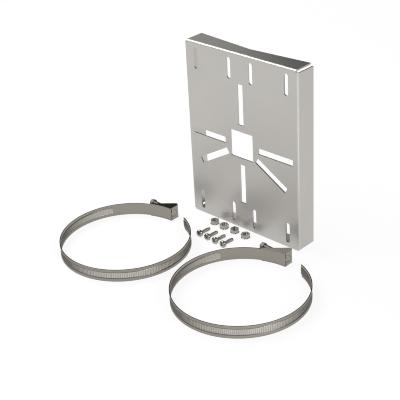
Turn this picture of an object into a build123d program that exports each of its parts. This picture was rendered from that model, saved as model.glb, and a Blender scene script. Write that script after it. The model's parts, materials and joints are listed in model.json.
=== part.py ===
from build123d import *
from math import atan, atan2, cos, degrees, pi, radians, sin, sqrt
import os

# A stainless steel pole mount for a camera, laid out as a kit: one folded plate that stands
# on its lower flange, two worm-drive strap clamps, four pan-head screws and four lock nuts
# with captive tooth washers. Millimetres, +Z up. The origin is on the plate's lower flange,
# under the middle of the plate; the plate's front face looks along -Y.

# Plate: one sheet, with its four edges folded back
plate_width = 150.0
plate_height = 200.0
plate_depth = 23.5
plate_sheet = 1.5
bend_inner = 1.0
corner_relief = 2.8
pole_notch = 6.75
front_reach = 10.0

# Screws, which also set the width of the plate's slots
screw_diameter = 4.17
screw_length = 15.9
screw_tip_chamfer = 0.4
head_diameter = 8.0
head_height = 3.0
head_rim = 0.9
crown_radius = 2.7
recess_span = 4.6
recess_width = 1.1
recess_depth = 1.7

# Straps of the two clamps
strap_width = 13.8
strap_sheet = 0.8
strap_radius = 69.0
tail_angle = 69.5
plain_angle = 148.4
channel_width = 7.0
press_depth = 0.55
rib_height = 0.25
rib_pitch = 1.79

# Cut-outs in the plate
window_side = 30.0
window_corner = 1.0
ray_slot_play = 2.83
ray_slot_start = 22.5
ray_slot_length = 45.0
ray_slot_angles = (0, 90, 180, 210, 270, 330)
strap_slot_play = 9.2
strap_slot_gap = 0.83
strap_slot_x_inner = 14.5
strap_slot_x_outer = 60.0
strap_slot_z = 82.0

# Clamp housing and worm screw
tail_play = 0.2
side_play = 0.1
cheek_sheet = 0.5
worm_radius = 3.9
worm_play = 0.1
thread_mesh = 0.1
worm_tilt = 5.2
worm_recess = 0.1
worm_nose_edge = 0.35
worm_thread_length = 10.7
worm_neck_radius = 3.0
worm_head_start = 33.5
worm_head_flats = 7.0
worm_head_length = 4.5
worm_head_edge = 0.4
worm_slot_width = 1.2
worm_slot_depth = 1.8
housing_roof = 7.2
housing_slope = 38.3
housing_corner = 3.0

# Lock nut and its captive washer
nut_flats = 8.7
nut_height = 3.2
nut_bore = 3.4
nut_chamfer = 0.75
collar_radius = 3.0
collar_lip = 0.45
lip_height = 0.3
lip_floor = 0.25
washer_play = 0.08
washer_gap = 0.1
washer_sheet = 0.45
washer_flat = 0.9
washer_radius = 5.05
washer_height = 1.25
tooth_count = 16
tooth_width = 0.95
tooth_root = 0.5
tooth_bend = 0.1

# Places on the table: near edges of the two rings, rows of nuts and screws, turns in degrees
clamp_1_right = -5.8
clamp_1_back = -45.0
clamp_2_left = 13.5
clamp_2_back = -40.0
clamp_turn = 0.8
nut_1_x = -34.4
nut_1_y = -19.9
nut_2_x = -20.0
nut_2_y = -20.7
nut_3_x = -4.9
nut_3_y = -20.6
nut_4_x = 11.3
nut_4_y = -21.6
nut_turns = [20.0, 35.0, 8.0, 48.0]
screw_row_x = -27.8
screw_row_y = -49.9
screw_row_step = 11.5
screw_row_drift = -0.4
screw_count = 4
screw_direction = 94.5

# Sizes that follow from the ones above
bend_outer = bend_inner + plate_sheet
front_face = -front_reach
half_width = plate_width / 2
middle_height = plate_height / 2
screw_radius = screw_diameter / 2
head_radius = head_diameter / 2
ray_slot_width = screw_diameter + ray_slot_play
strap_slot_width = screw_diameter + strap_slot_gap
strap_slot_length = strap_width + strap_slot_play
strap_inner = strap_radius - strap_sheet
half_strap = strap_width / 2
tail_path = strap_sheet + tail_play
half_passage = half_strap + side_play
half_housing = half_passage + cheek_sheet
clamp_places = [
    (clamp_1_right - strap_radius, clamp_1_back - strap_radius),
    (clamp_2_left + strap_radius, clamp_2_back - strap_radius),
]
nut_places = [(nut_1_x, nut_1_y), (nut_2_x, nut_2_y), (nut_3_x, nut_3_y), (nut_4_x, nut_4_y)]
worm_front = strap_radius + strap_sheet - thread_mesh + worm_radius
housing_peak = worm_front + worm_radius + housing_roof
end_angle = 90.0
cut_margin = 1.0


def polar(radius, angle):
    """Point at a radius and an angle in degrees, in the plan of a clamp."""
    return (radius * cos(radians(angle)), radius * sin(radians(angle)))


def post(radius, height, base=0.0):
    """Upright cylinder on the Z axis that stands on a level."""
    return Pos(0, 0, base) * Cylinder(radius, height, align=(Align.CENTER, Align.CENTER, Align.MIN))


def bar(length, width, depth):
    """Square-ended bar, centred, that cuts a slot through a wall lying in the XZ plane."""
    return Box(length, depth, width)


def rounded_slot(length, width, depth):
    """Upright slot cutter with round ends, centred, through a wall in the XZ plane."""
    outline = RectangleRounded(width, length, width / 2 - 0.01)
    return extrude(Plane.XZ * outline, depth / 2, both=True)


def folded_channel(width, depth, length):
    """U-shaped folded channel: web on the local X axis, legs along +Y, drawn out along Z."""
    outer = RectangleRounded(width, 2 * depth, bend_outer)
    inner = RectangleRounded(width - 2 * plate_sheet, 2 * (depth - plate_sheet), bend_inner)
    section = Pos(0, depth) * (outer - inner)
    section = section & Pos(0, depth / 2) * Rectangle(width, depth)
    return extrude(section, length / 2, both=True)


def mounting_plate():
    """The folded plate, with square reliefs where two bends would meet."""
    sides = folded_channel(plate_width, plate_depth, plate_height - 2 * corner_relief)
    ends = folded_channel(plate_height, plate_depth, plate_width - 2 * corner_relief)
    plate = sides + Rot(0, 90, 0) * ends
    notch = Polyline(
        (-half_width - cut_margin, plate_depth + cut_margin * pole_notch / half_width),
        (0, plate_depth - pole_notch),
        (half_width + cut_margin, plate_depth + cut_margin * pole_notch / half_width),
        (0, plate_depth + cut_margin + pole_notch),
        close=True,
    )
    between_sides = Rectangle(plate_width - 2 * plate_sheet, 4 * plate_depth)
    plate -= extrude(make_face(notch) & between_sides, plate_height, both=True)
    through = 4 * bend_outer
    window = RectangleRounded(window_side, window_side, window_corner)
    plate -= extrude(Plane.XZ * window, through / 2, both=True)
    reach = ray_slot_start + ray_slot_length / 2
    for angle in ray_slot_angles:
        slot = bar(ray_slot_length, ray_slot_width, through)
        plate -= Rot(0, -angle, 0) * Pos(reach, 0, 0) * slot
    for x in (strap_slot_x_inner, strap_slot_x_outer):
        for side in (-1, 1):
            for level in (-1, 1):
                slot = rounded_slot(strap_slot_length, strap_slot_width, through)
                plate -= Pos(side * x, 0, level * strap_slot_z) * slot
    return Pos(0, front_face, middle_height) * plate


def ring_sector(inner, outer, start, stop, half_height):
    """Band of constant section between two angles, centred on the clamp's middle plane."""
    section = Pos((inner + outer) / 2, 0) * Rectangle(outer - inner, 2 * half_height)
    band = revolve(Plane.XZ * section, Axis.Z, stop - start)
    return Rot(0, 0, start) * band


def ribbed_land():
    """Middle of the strap, pressed inwards, with its thread ribs standing out as a zigzag."""
    step = degrees(rib_pitch / strap_radius)
    count = round((360 + tail_angle - plain_angle) / step)
    ribs_end = plain_angle + count * step
    land = strap_radius - press_depth
    crests = []
    for index in range(2 * count + 1):
        crests.append(polar(land + rib_height * (index % 2), plain_angle + index * step / 2))
    inside = ThreePointArc(
        polar(land - strap_sheet, ribs_end),
        polar(land - strap_sheet, (plain_angle + ribs_end) / 2),
        polar(land - strap_sheet, plain_angle),
    )
    outline = [Polyline(*crests), Line(crests[-1], inside @ 0), inside, Line(inside @ 1, crests[0])]
    return extrude(make_face(outline), channel_width / 2, both=True), ribs_end


def clamp_strap():
    """Strap rolled to a ring: plain end under the housing, then ribs to the end of the tail."""
    ribs, ribs_end = ribbed_land()
    rim_height = (strap_width - channel_width) / 2
    rim = ring_sector(strap_inner, strap_radius, plain_angle, ribs_end, rim_height / 2)
    rim_place = (channel_width + rim_height) / 2
    strap = Pos(0, 0, rim_place) * rim + Pos(0, 0, -rim_place) * rim + ribs
    return strap + ring_sector(strap_inner, strap_radius, end_angle, plain_angle, half_strap)


def housing_thin_end():
    """Where the housing's outer wall runs down to the strap: line meets circle."""
    slope = radians(housing_slope)
    along = housing_peak * sin(slope) - sqrt(strap_radius**2 - (housing_peak * cos(slope)) ** 2)
    return (-along * cos(slope), housing_peak - along * sin(slope))


def worm_axis():
    """Place and direction of the worm: from its mouth in the end face, out to its head."""
    return Location((0, worm_front, 0), (0, -90, 0)) * Location((0, 0, 0), (-worm_tilt, 0, 0))


def clamp_housing():
    """Wedge on the strap's plain end, bored for the worm, with a passage for the tail."""
    thin = housing_thin_end()
    thin_angle = degrees(atan2(thin[1], thin[0]))
    foot = polar(strap_inner, thin_angle)
    middle = polar(strap_inner, (thin_angle + end_angle) / 2)
    outline = [
        Line((0, strap_inner), (0, housing_peak)),
        Line((0, housing_peak), thin),
        Line(thin, foot),
        ThreePointArc(foot, middle, (0, strap_inner)),
    ]
    block = extrude(make_face(outline), half_housing, both=True)
    peak_edge = block.edges().filter_by(Axis.Z).sort_by(Axis.Y)[-1]
    block = fillet(peak_edge, housing_corner)
    over = degrees(cut_margin / strap_radius)
    start, stop = end_angle - over, thin_angle + 2 * over
    seat = ring_sector(strap_inner - cut_margin, strap_radius, start, stop, half_strap)
    tunnel = ring_sector(strap_radius - thread_mesh, strap_radius + tail_path, start, stop, half_passage)
    bore = Cylinder(worm_radius + worm_play, 2 * worm_head_start)
    return block - seat - tunnel - worm_axis() * bore


def clamp_worm():
    """Worm screw: threaded length, neck, and a hexagon head with a slot for a screwdriver."""
    thread = post(worm_radius, worm_thread_length, worm_recess)
    nose = thread.faces().sort_by(Axis.Z)[0]
    thread = chamfer(nose.edges(), worm_nose_edge)
    neck_base = worm_recess + worm_thread_length
    neck = post(worm_neck_radius, worm_head_start - neck_base, neck_base)
    hexagon = RegularPolygon(worm_head_flats / 2, 6, major_radius=False)
    head = Pos(0, 0, worm_head_start) * extrude(hexagon, worm_head_length)
    head = chamfer(head.faces().sort_by(Axis.Z)[-1].edges(), worm_head_edge)
    slot = Box(2 * worm_head_flats, worm_slot_width, 2 * worm_slot_depth)
    return thread + neck + head - Pos(0, 0, worm_head_start + worm_head_length) * slot


def machine_screw():
    """Pan-head screw on the X axis: seat of the head at the origin, tip along +X."""
    shank = post(screw_radius, screw_length)
    shank = chamfer(shank.faces().sort_by(Axis.Z)[-1].edges(), screw_tip_chamfer)
    outline = Polyline(
        (0, 0),
        (head_radius, 0),
        (head_radius, -head_rim),
        (crown_radius, -head_height),
        (0, -head_height),
        close=True,
    )
    head = revolve(Plane.XZ * make_face(outline), Axis.Z)
    floor_level = recess_depth - head_height
    wing_outline = Polyline(
        (-recess_span / 2, -head_height),
        (recess_span / 2, -head_height),
        (recess_width / 2, floor_level),
        (-recess_width / 2, floor_level),
        close=True,
    )
    wing = extrude(Plane.XZ * make_face(wing_outline), recess_width / 2, both=True)
    return Rot(0, 90, 0) * (shank + head - (wing + Rot(0, 0, 90) * wing))


def lock_nut():
    """Hexagon nut whose staked collar, below it, holds the washer."""
    seat = washer_height + washer_gap
    top = seat + nut_height
    corner = nut_flats / 2 / cos(pi / 6)
    slant = corner - nut_chamfer / 2
    crown = Cone(slant + nut_height, slant, nut_height, align=(Align.CENTER, Align.CENTER, Align.MIN))
    hexagon = extrude(RegularPolygon(nut_flats / 2, 6, major_radius=False), nut_height) & crown
    collar = post(collar_radius, seat - lip_floor, lip_floor)
    lip = post(collar_radius + collar_lip, lip_height, lip_floor)
    bore = post(nut_bore / 2, top)
    mouth = Pos(0, 0, top - nut_chamfer) * Cone(
        nut_bore / 2, nut_bore / 2 + nut_chamfer, nut_chamfer, align=(Align.CENTER, Align.CENTER, Align.MIN)
    )
    return Pos(0, 0, seat) * hexagon + collar + lip - bore - mouth


def tooth_washer():
    """Dished washer: a flat ring under the nut, and teeth that point down and outwards."""
    hole = collar_radius + washer_play
    rim = hole + washer_flat
    underside = washer_height - washer_sheet
    washer = post(rim, washer_sheet, underside) - post(hole, washer_height)
    outline = Polyline(
        (rim - tooth_root, underside),
        (rim - tooth_root, washer_height),
        (rim - tooth_bend, washer_height),
        (washer_radius, washer_sheet),
        (washer_radius - washer_sheet, 0),
        close=True,
    )
    tooth = extrude(Plane.XZ * make_face(outline), tooth_width / 2, both=True)
    for index in range(tooth_count):
        washer += Rot(0, 0, index * 360 / tooth_count) * tooth
    return washer


def clamp_place(centre):
    """Where a clamp lies: its housing is wider than its strap, so the ring leans a little."""
    thin = housing_thin_end()
    half_span = (degrees(atan2(thin[1], thin[0])) - end_angle) / 2
    toward = end_angle + half_span
    across = strap_radius + strap_inner * cos(radians(half_span))
    lean = atan((half_housing - half_strap) / across)
    height = half_strap * cos(lean) + strap_radius * sin(lean)
    leaning = Rot(0, 0, toward) * Rot(0, -degrees(lean), 0) * Rot(0, 0, -toward)
    return Pos(centre[0], centre[1], height) * Rot(0, 0, clamp_turn) * leaning


def screw_place(index):
    """Where a screw lies: on the rim of its head and the edge of its tip."""
    reach = screw_length - screw_tip_chamfer
    drop = degrees(atan((head_radius - screw_radius) / reach))
    x = screw_row_x + index * screw_row_step
    y = screw_row_y + index * screw_row_drift
    height = head_radius * cos(radians(drop))
    return Pos(x, y, height) * Rot(0, 0, screw_direction) * Rot(0, drop, 0)


def build():
    """Every piece in its place, by node name."""
    nodes = {"mounting_plate": mounting_plate()}
    strap = clamp_strap()
    housing = clamp_housing()
    worm = worm_axis() * clamp_worm()
    for number, centre in enumerate(clamp_places, start=1):
        place = clamp_place(centre)
        nodes[f"clamp_strap_{number}"] = place * strap
        nodes[f"clamp_housing_{number}"] = place * housing
        nodes[f"clamp_worm_{number}"] = place * worm
    screw = machine_screw()
    for index in range(screw_count):
        nodes[f"machine_screw_{index + 1}"] = screw_place(index) * screw
    nut = lock_nut()
    washer = tooth_washer()
    for number, (spot, turn) in enumerate(zip(nut_places, nut_turns), start=1):
        place = Pos(spot[0], spot[1], 0) * Rot(0, 0, turn)
        nodes[f"lock_nut_{number}"] = place * nut
        nodes[f"tooth_washer_{number}"] = place * washer
    return nodes


os.makedirs("parts", exist_ok=True)
for name, shape in build().items():
    export_step(shape, f"parts/{name}.step")
    print(name, round(shape.volume, 2))
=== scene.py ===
import json
import math

import bmesh
import bpy
from mathutils import Euler, Matrix, Vector


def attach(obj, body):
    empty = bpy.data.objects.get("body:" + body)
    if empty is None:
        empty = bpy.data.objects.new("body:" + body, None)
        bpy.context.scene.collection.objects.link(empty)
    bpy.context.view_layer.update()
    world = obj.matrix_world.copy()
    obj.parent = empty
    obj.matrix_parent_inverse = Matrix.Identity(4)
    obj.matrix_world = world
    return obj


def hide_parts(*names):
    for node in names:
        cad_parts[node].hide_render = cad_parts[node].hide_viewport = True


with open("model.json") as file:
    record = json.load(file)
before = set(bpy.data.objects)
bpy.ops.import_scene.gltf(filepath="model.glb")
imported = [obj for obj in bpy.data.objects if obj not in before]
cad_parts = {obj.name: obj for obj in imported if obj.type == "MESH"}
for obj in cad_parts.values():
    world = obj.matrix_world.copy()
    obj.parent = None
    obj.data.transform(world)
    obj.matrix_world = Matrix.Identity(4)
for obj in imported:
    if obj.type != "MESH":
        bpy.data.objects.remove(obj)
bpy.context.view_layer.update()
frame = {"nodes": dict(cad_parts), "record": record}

# Its place and turn come from the photograph's straight edges and circles.
mm = 0.001
camera_spot = Vector((671.8, -743.3, 576.7)) * mm
camera_yaw = math.radians(45.15)
camera_pitch = math.radians(28.41)
camera_roll = math.radians(-3.3)
camera_lens, camera_sensor = 96.3, 36.0
camera_near, camera_far = 0.05, 50.0
pixel_filter = 1.1
camera_data = bpy.data.cameras.new("camera")
camera_data.lens, camera_data.sensor_width = camera_lens, camera_sensor
camera_data.clip_start, camera_data.clip_end = camera_near, camera_far
camera = bpy.data.objects.new("camera", camera_data)
camera_turn = Euler((math.pi / 2 - camera_pitch, 0, camera_yaw)).to_matrix()
camera_turn = camera_turn @ Matrix.Rotation(camera_roll, 3, "Z")
camera.matrix_world = Matrix.Translation(camera_spot) @ camera_turn.to_4x4()
bpy.context.scene.collection.objects.link(camera)
bpy.context.scene.camera = camera
bpy.context.scene.view_settings.view_transform = "Standard"
bpy.context.scene.cycles.filter_width = pixel_filter


# The first two functions below make the nodes of every material.
def put(tree, kind, sockets=None, **settings):
    """Adds a node; sockets maps an input's name or number to a value or to another node's output."""
    node = tree.nodes.new(kind)
    for name, value in settings.items():
        setattr(node, name, value)
    for name, value in (sockets or {}).items():
        if isinstance(value, bpy.types.NodeSocket):
            tree.links.new(value, node.inputs[name])
        else:
            node.inputs[name].default_value = value
    return node


def new_material(name):
    """An empty node material and the output that its shader goes to."""
    material = bpy.data.materials.new(name)
    material.use_nodes = True
    material.node_tree.nodes.clear()
    return material, material.node_tree, material.node_tree.nodes.new("ShaderNodeOutputMaterial")


def seen_directly(tree):
    """1 for rays from the camera, and for those that steel or glass sends on to the backdrop."""
    rays = put(tree, "ShaderNodeLightPath").outputs
    direct = put(
        tree, "ShaderNodeMath", {0: rays["Is Camera Ray"], 1: rays["Is Glossy Ray"]}, operation="MAXIMUM"
    )
    seen = put(
        tree, "ShaderNodeMath", {0: direct.outputs[0], 1: rays["Is Transmission Ray"]}, operation="MAXIMUM"
    )
    return seen.outputs[0]


table_half = 30.0
table_color, white = (0.92, 0.92, 0.92, 1), (1, 1, 1, 1)
shadow_seen, shadow_in_steel = 0.12, 0.2
# A pool of light is painted on the table, seen only in the steel: towards pool_middle, within pool_radius,
# the table glows up to pool_gain over white in glossy rays.
pool_middle, pool_radius, pool_gain = (0.3, -0.22, 0.0), 0.21, 1.9
table_material, tree, output = new_material("white_table")
paper = put(tree, "ShaderNodeBsdfDiffuse", {"Color": table_color})
glossy = put(tree, "ShaderNodeLightPath").outputs["Is Glossy Ray"]
spot = put(tree, "ShaderNodeTexCoord").outputs["Object"]
away = put(tree, "ShaderNodeVectorMath", {0: spot, 1: pool_middle}, operation="DISTANCE").outputs["Value"]
pool = put(
    tree,
    "ShaderNodeMapRange",
    {"Value": away, "From Min": 0.0, "From Max": pool_radius, "To Min": pool_gain, "To Max": 0.0},
    interpolation_type="SMOOTHSTEP",
)
gain = put(tree, "ShaderNodeMath", {0: pool.outputs[0], 1: glossy, 2: 1.0}, operation="MULTIPLY_ADD")
glow = put(tree, "ShaderNodeEmission", {"Color": white, "Strength": gain.outputs[0]})
shadow = put(
    tree,
    "ShaderNodeMath",
    {0: glossy, 1: shadow_in_steel - shadow_seen, 2: shadow_seen},
    operation="MULTIPLY_ADD",
)
lit = put(tree, "ShaderNodeMath", {0: 1.0, 1: shadow.outputs[0]}, operation="SUBTRACT")
share = put(tree, "ShaderNodeMath", {0: seen_directly(tree), 1: lit.outputs[0]}, operation="MULTIPLY")
mixed = put(tree, "ShaderNodeMixShader", {0: share.outputs[0], 1: paper.outputs[0], 2: glow.outputs[0]})
tree.links.new(mixed.outputs[0], output.inputs["Surface"])
table_mesh = bpy.data.meshes.new("table")
corners = [(x * table_half, y * table_half, 0) for x, y in ((-1, -1), (1, -1), (1, 1), (-1, 1))]
table_mesh.from_pydata(corners, [], [(0, 1, 2, 3)])
table_mesh.materials.append(table_material)
table = bpy.data.objects.new("table", table_mesh)
bpy.context.scene.collection.objects.link(table)

# What is matt gets one even level of light.
bright_side = Vector((0.57, -0.82, 0.0)).normalized()
dark_dot, bright_dot, dark_level, bright_level = -0.35, 0.9, 0.04, 1.5
wall_top, ceiling_start, ceiling_share = 0.25, 0.7, 0.15
matt_level = 0.55
world = bpy.data.worlds.new("room")
world.use_nodes = True
bpy.context.scene.world = world
tree = world.node_tree
tree.nodes.clear()
direction = put(tree, "ShaderNodeTexCoord").outputs["Generated"]
towards = put(tree, "ShaderNodeVectorMath", {0: direction, 1: bright_side}, operation="DOT_PRODUCT")
walls = put(
    tree,
    "ShaderNodeMapRange",
    {"Value": towards.outputs["Value"], "From Min": dark_dot, "From Max": bright_dot,
     "To Min": dark_level, "To Max": bright_level},
    interpolation_type="SMOOTHSTEP",
)
height = put(tree, "ShaderNodeSeparateXYZ", {0: direction}).outputs["Z"]
ceiling = put(
    tree,
    "ShaderNodeMapRange",
    {"Value": height, "From Min": wall_top, "From Max": ceiling_start,
     "To Min": 1.0, "To Max": ceiling_share},
    interpolation_type="SMOOTHSTEP",
)
level = put(tree, "ShaderNodeMath", {0: walls.outputs[0], 1: ceiling.outputs[0]}, operation="MULTIPLY")
to_camera = put(tree, "ShaderNodeLightPath").outputs["Is Camera Ray"]
strength = put(tree, "ShaderNodeMix", {"A": level.outputs[0], "B": 1.0, "Factor": to_camera})
backdrop = put(tree, "ShaderNodeBackground", {"Color": white, "Strength": strength.outputs[0]})
even = put(tree, "ShaderNodeBackground", {"Color": white, "Strength": matt_level})
mixed = put(tree, "ShaderNodeMixShader", {0: seen_directly(tree), 1: even.outputs[0], 2: backdrop.outputs[0]})
tree.links.new(mixed.outputs[0], put(tree, "ShaderNodeOutputWorld").inputs["Surface"])


def softbox(name, spot, aim, size, power):
    """A lamp of that length and width, which looks from a spot at an aim, its length kept level."""
    lamp = bpy.data.lights.new(name, "AREA")
    lamp.shape = "RECTANGLE"
    lamp.size, lamp.size_y = size
    lamp.energy = power
    lamp_object = bpy.data.objects.new(name, lamp)
    lamp_object.location = spot
    lamp_object.rotation_euler = (Vector(aim) - Vector(spot)).to_track_quat("-Z", "Y").to_euler()
    lamp_object.visible_camera = False
    bpy.context.scene.collection.objects.link(lamp_object)


# A small one behind the plate's top edge and a strip close behind its foot light what turns away
# from the large ones.
kit_middle = (0.0, -0.08, 0.05)
softbox("overhead_softbox", (-1.24, -0.4, 1.57), kit_middle, (1.9, 0.85), 26.5)
softbox("right_softbox", (1.6, -0.2, 1.1), kit_middle, (0.8, 0.8), 10.0)
softbox("rim_softbox", (-0.33, 0.21, 0.4), (-0.05, 0.0, 0.2), (0.26, 0.12), 0.07)
softbox("back_softbox", (-0.05, 0.06, 0.035), (-0.014, 0.0, 0.0), (0.14, 0.03), 0.012)

# The plate is one sheet of cold-rolled stainless steel, folded back on four sides, with its
# slots and window punched before folding. Its skin is satin, with a fine drawn grain along X.
grain_size, grain_detail, grain_rough = 900.0, 3.0, 0.08
cloud_size, cloud_detail, cloudiness = 35.0, 4.0, 0.06
scuff_size, scuff_detail, scuff_start, scuff_full = 260.0, 2.0, 0.62, 0.72
scuffs, scuff_rough = 0.15, 0.12
drawn_along_x = (0.04, 1.0, 1.0)


def steel_skin_group():
    group = bpy.data.node_groups.new("steel_skin", "ShaderNodeTree")
    for name, kind, value in (
        ("Base", "NodeSocketColor", (0.55, 0.54, 0.52, 1)),
        ("Roughness", "NodeSocketFloat", 0.3),
        ("Grain Stretch", "NodeSocketVector", drawn_along_x),
    ):
        group.interface.new_socket(name, in_out="INPUT", socket_type=kind).default_value = value
    for name, kind in (
        ("Color", "NodeSocketColor"),
        ("Roughness", "NodeSocketFloat"),
        ("Height", "NodeSocketFloat"),
    ):
        group.interface.new_socket(name, in_out="OUTPUT", socket_type=kind)
    given = put(group, "NodeGroupInput").outputs
    place = put(group, "ShaderNodeTexCoord").outputs["Object"]

    def noise(where, size, detail):
        """A noise from 0 to 1."""
        sockets = {"Vector": where, "Scale": size, "Detail": detail}
        return put(group, "ShaderNodeTexNoise", sockets).outputs["Fac"]

    def number(operation, *values):
        """The result of a sum on numbers."""
        return put(group, "ShaderNodeMath", dict(enumerate(values)), operation=operation).outputs[0]

    drawn = put(group, "ShaderNodeVectorMath", {0: place, 1: given["Grain Stretch"]}, operation="MULTIPLY")
    grain = noise(drawn.outputs[0], grain_size, grain_detail)
    cloud = noise(place, cloud_size, cloud_detail)
    scuff = put(
        group,
        "ShaderNodeMapRange",
        {"Value": noise(place, scuff_size, scuff_detail), "From Min": scuff_start, "From Max": scuff_full},
    ).outputs[0]
    shade = number("ADD", number("MULTIPLY", number("SUBTRACT", cloud, 0.5), cloudiness), 1.0)
    tint = put(group, "ShaderNodeVectorMath", {0: given["Base"], "Scale": shade}, operation="SCALE")
    grained = number("ADD", given["Roughness"], number("MULTIPLY_ADD", grain, grain_rough, -grain_rough / 2))
    rough = number("MULTIPLY_ADD", number("MULTIPLY", scuff, scuffs), scuff_rough, grained)
    put(group, "NodeGroupOutput", {"Color": tint.outputs[0], "Roughness": rough, "Height": grain})
    return group


steel_skin = steel_skin_group()
bump_strength, brushed_turn = 0.25, 0.25
painted_shade_start, painted_shade_full = 0.1, 0.6


def kept_by_view(tree, painted_shade):
    """Share of its colour that a band about local Z keeps where it turns away from the viewer.

    It is painted shade, standing for ribs that shadow each other at a glancing angle. It goes by
    the view, so it moves with the camera, and its strength was set against the photograph.
    """
    place = put(tree, "ShaderNodeTexCoord").outputs["Object"]
    level = put(tree, "ShaderNodeVectorMath", {0: place, 1: (1, 1, 0)}, operation="MULTIPLY").outputs[0]
    outward = put(tree, "ShaderNodeVectorMath", {0: level}, operation="NORMALIZE").outputs[0]
    facing = put(tree, "ShaderNodeLayerWeight", {"Blend": 0.5, "Normal": outward}).outputs["Facing"]
    kept = put(
        tree,
        "ShaderNodeMapRange",
        {"Value": facing, "From Min": painted_shade_start, "From Max": painted_shade_full, "To Min": 1.0, "To Max": 1 - painted_shade},
    )
    return kept.outputs[0]


def steel(name, base, roughness, stretch=drawn_along_x, relief=0.02, brushed=0.0, painted_shade=0.0, edge_tint=1.0):
    """Stainless steel of one finish, with a grain of that stretch and of that depth in mm.

    brushed spreads its gloss along local Z; loss is the share of its colour that a ribbed band loses
    to painted shade where it turns away from the viewer; edge_tint is what smooth steel reflects at a
    glancing angle.
    """
    material, tree, output = new_material(name)
    sockets = {"Base": (*base, 1), "Roughness": roughness, "Grain Stretch": stretch}
    skin_out = put(tree, "ShaderNodeGroup", sockets, node_tree=steel_skin).outputs
    color = skin_out["Color"]
    # Painted shade: the colour darkens where a ribbed band turns away from the viewer.
    if painted_shade:
        sockets = {0: color, "Scale": kept_by_view(tree, painted_shade)}
        color = put(tree, "ShaderNodeVectorMath", sockets, operation="SCALE").outputs[0]
    sockets = {"Height": skin_out["Height"], "Distance": relief * mm, "Strength": bump_strength}
    bump = put(tree, "ShaderNodeBump", sockets)
    shader = put(
        tree,
        "ShaderNodeBsdfPrincipled",
        {"Base Color": color, "Roughness": skin_out["Roughness"], "Metallic": 1.0,
         "Specular Tint": (edge_tint, edge_tint, edge_tint, 1), "Normal": bump.outputs[0],
         "Anisotropic": brushed, "Anisotropic Rotation": brushed_turn},
    )
    if brushed:
        around = put(tree, "ShaderNodeTangent", direction_type="RADIAL", axis="Z")
        tree.links.new(around.outputs[0], shader.inputs["Tangent"])
    tree.links.new(shader.outputs[0], output.inputs["Surface"])
    return material


def finish_node(name, material):
    """Gives a piece that the frame already has its own material."""
    node = frame["nodes"][name]
    node.data.materials.clear()
    node.data.materials.append(material)


plate_steel = steel("plate_steel", (0.53, 0.513, 0.486), 0.42)
finish_node("mounting_plate", plate_steel)

# Each strap is a band of spring steel rolled to a ring. A channel is pressed in along its middle,
# and the channel carries the slanted ribs that the worm drives, right through the sheet. The
# plain part by the head is as it was rolled, and the slit edges of the band are painted near
# black: painted shade along its edges.
strap_radius, strap_sheet, strap_half = 69.0, 0.8, 6.9
strap_head_angle, channel_angle, strap_tail_angle = 90.0, 148.4, 429.5
channel_half, channel_slope, channel_fade, press_depth = 3.5, 1.0, 0.6, 0.55
rib_pitch, rib_height, groove_depth = 1.79, 0.25, 0.2
rib_half, rib_fade, rib_lean = 2.95, 0.25, 4.0
rib_wave = ((0.1, 0.0), (0.17, 0.5), (0.25, 0.93), (0.5, 1.0), (0.75, 0.93), (0.83, 0.5), (0.9, 0.0))
crest_height, shaded_wall_end = 0.8, 3.9
plain_step = 1.0
edge_round = ((0.0, 0.16), (0.16, 0.0))
section_lines = (1.4, 2.6, 2.95, 3.2, 3.5, 4.0)
sharp_fold = 30.0
on_band, on_crest, on_groove, on_slit_shade, on_wall_shade, on_inner_ribs = range(6)


def clamp_frame(number):
    """Where a clamp lies: its ring turns about local Z, and its worm is out along local +Y."""
    mounts = {mount["name"]: mount for mount in frame["record"]["mounts"]}
    joints = {joint["name"]: joint for joint in frame["record"]["behaviour"]["joints"]}
    loop = mounts[f"pole_loop_{number}"]
    centre, axis = Vector(loop["pos_m"]), Vector(loop["axis"]).normalized()
    outward = Vector(joints[f"worm_{number}_turn"]["pos_m"]) - centre
    outward = (outward - outward.dot(axis) * axis).normalized()
    turn = Matrix((outward.cross(axis), outward, axis)).transposed()
    return Matrix.Translation(centre) @ turn.to_4x4()


def ease(value, low, high):
    """Smooth step from 0 at low to 1 at high."""
    share = min(max((value - low) / (high - low), 0.0), 1.0)
    return share * share * (3 - 2 * share)


def strap_stations():
    """Angles along the strap in radians, each with the height of the rib there from 0 to 1."""
    head, start, tail = (math.radians(a) for a in (strap_head_angle, channel_angle, strap_tail_angle))
    pitch = rib_pitch / strap_radius
    ribs = round((tail - start) / pitch)
    steps = round((start - head) / math.radians(plain_step))
    flat = groove_depth / (rib_height + groove_depth)
    stations = [(head + (start - head) * i / steps, flat) for i in range(steps)]
    stations += [(start + (i + phase) * pitch, height) for i in range(ribs) for phase, height in rib_wave]
    stations.append((start + ribs * pitch, 0.0))
    return stations, start


def strap_finish(z, ribs, wall):
    """Which finish a face has at a height across the band: its ribs', or a wall's painted shade."""
    if abs(z) < rib_half:
        return ribs
    return on_wall_shade if wall else on_band


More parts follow.
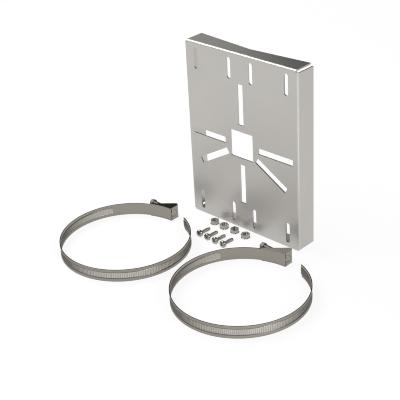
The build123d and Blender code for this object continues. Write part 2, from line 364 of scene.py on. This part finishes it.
def strap_mesh(name):
    """Rolled band: loops round its section, from the head's end to the tail's."""
    stations, start = strap_stations()
    lines = sorted({-line for line in section_lines} | set(section_lines))
    profile = [(-strap_half + z, inset) for z, inset in edge_round]
    profile += [(z, 0.0) for z in lines]
    profile += [(strap_half - z, inset) for z, inset in reversed(edge_round)]
    fade = channel_fade / strap_radius
    low, high = channel_half - channel_slope / 2, channel_half + channel_slope / 2
    points, faces = [], []
    for angle, rib in stations:
        pressed = ease(angle, start - fade, start + fade)
        loop = []
        for z, inset in profile:
            sink = press_depth * pressed * (1 - ease(abs(z), low, high))
            ribbed = pressed * (1 - ease(abs(z), rib_half, rib_half + rib_fade))
            outer = strap_radius - sink + ribbed * (rib * (rib_height + groove_depth) - groove_depth)
            inner = max(outer, strap_radius - sink) - strap_sheet
            turn = angle + math.tan(math.radians(rib_lean)) * z / strap_radius * pressed
            loop.append((turn, z, outer - inset, inner + inset))
        sides = [(turn, z, outer) for turn, z, outer, _ in loop]
        sides += [(turn, z, inner) for turn, z, _, inner in reversed(loop)]
        points += [(math.cos(turn) * r * mm, math.sin(turn) * r * mm, z * mm) for turn, z, r in sides]
    half, around = len(profile), 2 * len(profile)
    for i in range(len(stations) - 1):
        for j in range(around):
            k = (j + 1) % around
            faces.append((i * around + j, (i + 1) * around + j, (i + 1) * around + k, i * around + k))
    for end, order in ((0, 1), (len(stations) - 1, -1)):
        for j in range(half - 1):
            cap = [end * around + n for n in (j, j + 1, around - 2 - j, around - 1 - j)]
            faces.append(cap[::order])
    mesh = bpy.data.meshes.new(name)
    mesh.from_pydata(points, [], faces)
    middles = [(profile[j][0] + profile[j + 1][0]) / 2 for j in range(half - 1)]
    # Outside, the channel's lower walls, and inside, its upper walls, take a darker steel: painted shade in
    # the creases.
    outside = [strap_finish(z, on_crest, -shaded_wall_end < z < 0) for z in middles]
    inside = [strap_finish(z, on_inner_ribs, 0 < z < shaded_wall_end) for z in middles]
    finishes = outside + [on_band] + inside[::-1] + [on_band]
    for i in range(len(stations) - 1):
        if stations[i][0] >= start:
            # Rib faces low on the wave take the groove tone of the painted sheen, the rest the crest tone.
            low_rib = min(stations[i][1], stations[i + 1][1]) <= crest_height
            for j, finish in enumerate(finishes):
                grooved = finish == on_crest and low_rib
                mesh.polygons[i * around + j].material_index = on_groove if grooved else finish
        # The band's rounded edges and edge faces take the near-black steel: painted shade along the slits.
        for j in (0, half - 2, half - 1, half, around - 2, around - 1):
            mesh.polygons[i * around + j].material_index = on_slit_shade
    return mesh


def add_piece(name, mesh, place, materials, body, node):
    """Puts a detailed piece in the place of its CAD node, on that node's body.

    The turn goes into the mesh, so that the piece's own box is as small as it can be.
    """
    for material in materials:
        mesh.materials.append(material)
    spot = Matrix.Translation(place.translation)
    mesh.transform(spot.inverted() @ place)
    mesh.shade_smooth()
    mesh.set_sharp_from_angle(angle=math.radians(sharp_fold))
    piece = bpy.data.objects.new(name, mesh)
    bpy.context.scene.collection.objects.link(piece)
    piece.matrix_world = spot
    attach(piece, body)
    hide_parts(node)


pressed_finish = {"stretch": (1.0, 1.0, 0.05), "brushed": 0.6, "edge_tint": 0.15}
strap_steel = steel("strap_steel", (0.3, 0.276, 0.242), 0.24, stretch=(0.04, 0.04, 1.0), edge_tint=0.6)
# The ribbed land is far lighter than the plain band, a painted sheen. Its crests and grooves get two tones of
# it, set for the light and shade across the ribs, and the inside ribs a third.
crest_sheen_steel = steel("crest_sheen_steel", (0.65, 0.62, 0.573), 0.4, painted_shade=0.68, **pressed_finish)
groove_sheen_steel = steel("groove_sheen_steel", (0.71, 0.677, 0.626), 0.4, painted_shade=0.68, **pressed_finish)
# Near black: painted shade along the band's slit edges.
slit_shade_steel = steel("slit_shade_steel", (0.03, 0.028, 0.025), 0.35, edge_tint=0.2)
# Darker: painted shade on the channel's walls.
wall_shade_steel = steel("wall_shade_steel", (0.17, 0.157, 0.14), 0.35)
inner_sheen_steel = steel("inner_sheen_steel", (0.53, 0.505, 0.466), 0.4, painted_shade=0.55, **pressed_finish)
strap_steels = (strap_steel, crest_sheen_steel, groove_sheen_steel, slit_shade_steel, wall_shade_steel, inner_sheen_steel)
for number in (1, 2):
    node = f"clamp_strap_{number}"
    place = clamp_frame(number)
    add_piece(f"ribbed_strap_{number}", strap_mesh(node), place, strap_steels, "kit", node)

# The housing is a wedge of stainless steel on the strap's plain end, bored along its length for
# the worm, with a slot between bore and strap that lets the ribbed tail through.
housing_steel = steel("housing_steel", (0.31, 0.285, 0.25), 0.2)
for number in (1, 2):
    finish_node(f"clamp_housing_{number}", housing_steel)

# The worm screw is turned from bar, with a rolled thread that drives the strap's ribs, a plain
# neck, and a hexagon head that is also slotted. It turns in its housing's bore.
worm_root, worm_crest, worm_thread_length = 3.15, 3.9, 10.7
worm_nose, worm_nose_edge, worm_collar, worm_run_in, worm_thread_step = 0.1, 0.35, 0.6, 0.8, 0.2
worm_neck, worm_neck_step, worm_head_start = 3.0, 0.2, 33.5
worm_head_length, worm_head_flats, worm_head_edge = 4.5, 7.0, 0.4
worm_slot_width, worm_slot_depth = 1.2, 1.8
thread_foot, thread_flank = 0.44, 0.31
round_columns = 48
cut_over = 1.0


def turns_at(angle, z, pitch):
    """Turns of a right-hand thread between its start and a place at that angle and height."""
    return z / pitch - angle / (2 * math.pi)


def thread_height(turns):
    """Share of a thread's depth at a place given in turns: flat root, sloping flanks, flat crest."""
    return min(max((thread_foot - abs(turns % 1.0 - 0.5)) / thread_flank, 0.0), 1.0)


def ring(radius, level):
    """One ring of points about Z; its radius and level are numbers, or functions of the angle."""
    points = []
    for i in range(round_columns):
        angle = 2 * math.pi * i / round_columns
        r = radius(angle) if callable(radius) else radius
        points.append((r * math.cos(angle), r * math.sin(angle), level(angle) if callable(level) else level))
    return points


def threaded_ring(root, depth, z, pitch):
    """One ring of points on a thread of that depth."""
    return ring(lambda angle: root + depth * thread_height(turns_at(angle, z, pitch)), z)


def hexagon(flats):
    """Radius of a hexagon's outline at an angle, with a corner at angle zero."""
    return lambda angle: flats / 2 / math.cos((angle % (math.pi / 3)) - math.pi / 6)


def skin(name, rings, capped=True):
    """Closed mesh through rings of points in millimetres: capped at both ends, or joined to itself."""
    solid = bmesh.new()
    rows = [[solid.verts.new([c * mm for c in point]) for point in points] for points in rings]
    pairs = list(zip(rows, rows[1:]))
    if not capped:
        pairs.append((rows[-1], rows[0]))
    for low, high in pairs:
        for i in range(len(low)):
            k = (i + 1) % len(low)
            solid.faces.new((low[i], low[k], high[k], high[i]))
    if capped:
        for row in (rows[0], rows[-1]):
            solid.faces.new(row)
    bmesh.ops.recalc_face_normals(solid, faces=solid.faces)
    mesh = bpy.data.meshes.new(name)
    solid.to_mesh(mesh)
    solid.free()
    return mesh


def prism(name, outline, width):
    """Straight bar of that width along Y, with an outline of (x, z) points in millimetres."""
    return skin(name, [[(x, y, z) for x, z in outline] for y in (-width / 2, width / 2)])


def combined(mesh, tools, operation="DIFFERENCE"):
    """The mesh after each tool is cut away from it or joined to it."""
    work = bpy.data.objects.new(mesh.name, mesh)
    bpy.context.scene.collection.objects.link(work)
    used = []
    for tool_mesh in tools:
        tool = bpy.data.objects.new(tool_mesh.name, tool_mesh)
        bpy.context.scene.collection.objects.link(tool)
        modifier = work.modifiers.new("combine", "BOOLEAN")
        modifier.operation, modifier.solver, modifier.object = operation, "EXACT", tool
        used.append(tool)
    result = bpy.data.meshes.new_from_object(work.evaluated_get(bpy.context.evaluated_depsgraph_get()))
    for tool in used + [work]:
        bpy.data.objects.remove(tool)
    return result


def worm_mesh():
    """Worm along Z from its nose to its head; the thread fades in and out at its two ends."""
    begin, end = worm_nose + worm_collar, worm_nose + worm_thread_length
    top = worm_head_start + worm_head_length
    outline = hexagon(worm_head_flats)

    def thread_radius(angle, z):
        """Radius of the thread, full at the nose and run out to the root at the neck."""
        cut, run_out = ease(z, begin, begin + worm_run_in), 1 - ease(z, end - worm_run_in, end)
        share = (1 - cut + cut * thread_height(turns_at(angle, z, rib_pitch))) * run_out
        return worm_root + (worm_crest - worm_root) * share

    rings = [ring(worm_crest - worm_nose_edge, worm_nose), ring(worm_crest, worm_nose + worm_nose_edge)]
    steps = round((end - begin) / worm_thread_step)
    for i in range(steps + 1):
        z = begin + (end - begin) * i / steps
        rings.append(ring(lambda angle: thread_radius(angle, z), z))
    rings += [ring(worm_neck, end + worm_neck_step), ring(worm_neck, worm_head_start)]
    rings += [ring(outline, worm_head_start), ring(outline, top - worm_head_edge)]
    rings.append(ring(lambda angle: outline(angle) - worm_head_edge, top))
    slot = [(-worm_head_flats, top - worm_slot_depth), (worm_head_flats, top - worm_slot_depth)]
    slot += [(worm_head_flats, top + cut_over), (-worm_head_flats, top + cut_over)]
    mesh = combined(skin("worm", rings), [prism("worm_slot", slot, worm_slot_width)])
    # Faces past the thread, the neck and the head, take a darker steel: painted shade.
    for polygon in mesh.polygons:
        polygon.material_index = int(polygon.center.z > end * mm)
    return mesh


def worm_frame(number):
    """Where a worm lies: on its joint, with local X along the axis of the clamp's ring."""
    joints = {joint["name"]: joint for joint in frame["record"]["behaviour"]["joints"]}
    joint = joints[f"worm_{number}_turn"]
    axis = Vector(joint["axis"]).normalized()
    side = clamp_frame(number).to_3x3().col[2]
    side = (side - side.dot(axis) * axis).normalized()
    turn = Matrix((side, axis.cross(side), axis)).transposed()
    return Matrix.Translation(joint["pos_m"]) @ turn.to_4x4()


worm_grain = (0.2, 1.0, 1.0)
worm_steel = steel("worm_steel", (0.31, 0.285, 0.25), 0.2, stretch=worm_grain)
# Much darker copy of the worm's steel for its neck and head: painted shade.
neck_shade_steel = steel("neck_shade_steel", (0.12, 0.11, 0.097), 0.4, stretch=worm_grain)
for number in (1, 2):
    body, node = f"worm_{number}", f"clamp_worm_{number}"
    steels = (worm_steel, neck_shade_steel)
    add_piece(f"worm_{number}", worm_mesh(), worm_frame(number), steels, body, node)

# Four pan-head screws, cold headed with a cross recess and rolled with a thread nearly up to the
# head. Each lies on the rim of its head and the edge of its tip.
screw_radius, screw_root, screw_pitch, screw_length = 2.085, 1.7, 0.794, 15.9
screw_tip, screw_tip_edge, screw_neck = 0.4, 0.3, 0.9
screw_thread_step, screw_thread_fade = 0.1, 0.6
neck_fillet = ((0.15, 0.1), (0.0, 0.3))
head_radius, head_height = 4.0, 3.0
head_profile = ((0.0, 3.75), (-0.12, 3.93), (-0.35, 4.0), (-0.85, 4.0), (-1.3, 3.93), (-1.75, 3.75))
head_profile += ((-2.15, 3.42), (-2.5, 2.95), (-2.76, 2.3), (-2.93, 1.5), (-3.0, 0.6))
recess_span, recess_width, recess_depth, recess_floor = 4.6, 1.05, 1.75, 1.6
screw_row, screw_step, screw_direction = (-27.8, -49.9), (11.5, -0.4), 94.5


def screw_mesh():
    """Screw along X: seat of the head at the origin, tip along +X, cross recess in the crown."""
    tip_start = screw_length - screw_tip
    rings = [ring(screw_root - screw_tip_edge, screw_length), ring(screw_root, tip_start)]
    steps = round((tip_start - screw_neck) / screw_thread_step)
    for i in range(1, steps + 1):
        z = tip_start + (screw_neck - tip_start) * i / steps
        share = 1 - ease(z, tip_start - screw_thread_fade, tip_start)
        share *= ease(z, screw_neck, screw_neck + screw_thread_fade)
        rings.append(threaded_ring(screw_root, (screw_radius - screw_root) * share, z, screw_pitch))
    rings += [ring(screw_root + wider, level) for level, wider in neck_fillet]
    rings += [ring(radius, level) for level, radius in head_profile]
    half, floor, bottom = recess_span / 2, recess_floor / 2, recess_depth - head_height
    wing = [(-half, -head_height - cut_over), (half, -head_height - cut_over), (half, -head_height)]
    wing += [(floor, bottom), (-floor, bottom), (-half, -head_height)]
    wings = [prism(f"wing_{i}", wing, recess_width) for i in (0, 1)]
    wings[1].transform(Matrix.Rotation(math.pi / 2, 4, "Z"))
    mesh = combined(skin("screw", rings), wings)
    mesh.transform(Matrix.Rotation(math.pi / 2, 4, "Y"))
    return mesh


def screw_frame(index):
    """Where a screw lies, from the first one's place and the steps of the row."""
    reach = screw_length - screw_tip
    drop = math.atan((head_radius - screw_radius) / reach)
    spot = Vector((screw_row[0] + index * screw_step[0], screw_row[1] + index * screw_step[1], 0))
    spot.z = head_radius * math.cos(drop)
    turn = Matrix.Rotation(math.radians(screw_direction), 4, "Z") @ Matrix.Rotation(drop, 4, "Y")
    return Matrix.Translation(spot * mm) @ turn


screw_steel = steel("screw_steel", (0.37, 0.355, 0.33), 0.22, stretch=(1.0, 0.2, 1.0))
for number in (1, 2, 3, 4):
    node, place = f"machine_screw_{number}", screw_frame(number - 1)
    add_piece(f"screw_{number}", screw_mesh(), place, (screw_steel,), "kit", node)

# Four hexagon nuts with a collar staked over below, and on each collar an external tooth washer
# of spring steel that spins. The thread shows in the mouth of the nut.
nut_flats, nut_height, nut_crown, nut_dip = 8.7, 3.2, 0.75, 0.02
nut_bore, nut_mouth, nut_mouth_step = 1.7, 0.75, 0.06
collar_radius, lip_radius, lip_floor, lip_height = 3.0, 3.45, 0.25, 0.3
washer_hole, washer_rim, washer_radius, washer_height, washer_sheet = 3.08, 3.98, 5.05, 1.25, 0.45
washer_gap, tooth_count, tooth_width, tooth_twist = 0.1, 16, 0.95, 9.0
tooth_root, tooth_shoulder = 0.5, 0.1
nut_spots = ((-34.4, -19.9, 20.0), (-20.0, -20.7, 35.0), (-4.9, -20.6, 8.0), (11.3, -21.6, 48.0))


def nut_mesh():
    """Nut about Z: hexagon with a turned crown, threaded bore, collar and lip below the seat."""
    seat = washer_height + washer_gap
    top = seat + nut_height
    mouth = top - nut_mouth
    outline = hexagon(nut_flats)
    slant = nut_flats / 2 / math.cos(math.pi / 6) - nut_crown / 2
    rings = [ring(outline, seat)]
    rings.append(ring(outline, lambda angle: top - max(outline(angle) - slant, 0.0) - nut_dip))
    rings += [ring(lambda angle: min(outline(angle) - nut_dip, slant), top), ring(nut_bore + nut_mouth, top)]
    rings.append(ring(nut_bore + nut_mouth_step, mouth))
    steps = round((mouth - lip_floor) / screw_thread_step)
    for i in range(1, steps):
        z = mouth + (lip_floor - mouth) * i / steps
        rings.append(threaded_ring(nut_bore, screw_radius - nut_bore, z, screw_pitch))
    rings += [ring(nut_bore, lip_floor), ring(lip_radius, lip_floor)]
    rings += [ring(lip_radius, lip_floor + lip_height), ring(collar_radius, lip_floor + lip_height)]
    rings.append(ring(collar_radius, seat))
    return skin("nut", rings, capped=False)


def washer_mesh():
    """Flat ring with bent-down teeth, each one twisted a little about its own length."""
    under = washer_height - washer_sheet
    flat = [ring(washer_hole, under), ring(washer_rim, under)]
    flat += [ring(washer_rim, washer_height), ring(washer_hole, washer_height)]
    outline = [(washer_rim - tooth_root, under), (washer_rim - tooth_root, washer_height)]
    outline += [(washer_rim - tooth_shoulder, washer_height), (washer_radius, washer_sheet)]
    outline.append((washer_radius - washer_sheet, 0.0))
    rise = math.tan(math.radians(tooth_twist)) * tooth_width * mm
    teeth = []
    for i in range(tooth_count):
        tooth = prism(f"tooth_{i}", outline, tooth_width)
        for vertex in tooth.vertices:
            if vertex.co.y > 0:
                out = max(vertex.co.x / mm - washer_rim, 0.0) / (washer_radius - washer_rim)
                vertex.co.z += rise * out
        tooth.transform(Matrix.Rotation(2 * math.pi * i / tooth_count, 4, "Z"))
        teeth.append(tooth)
    return combined(skin("washer", flat, capped=False), teeth, "UNION")


nut_steel = steel("nut_steel", (0.37, 0.35, 0.32), 0.2, stretch=(1.0, 1.0, 0.2))
washer_steel = steel("washer_steel", (0.2, 0.185, 0.165), 0.25)
for number, (x, y, turn) in enumerate(nut_spots, start=1):
    place = Matrix.Translation(Vector((x, y, 0)) * mm) @ Matrix.Rotation(math.radians(turn), 4, "Z")
    add_piece(f"nut_{number}", nut_mesh(), place, (nut_steel,), "kit", f"lock_nut_{number}")
    body, node = f"washer_{number}", f"tooth_washer_{number}"
    add_piece(f"washer_{number}", washer_mesh(), place, (washer_steel,), body, node)
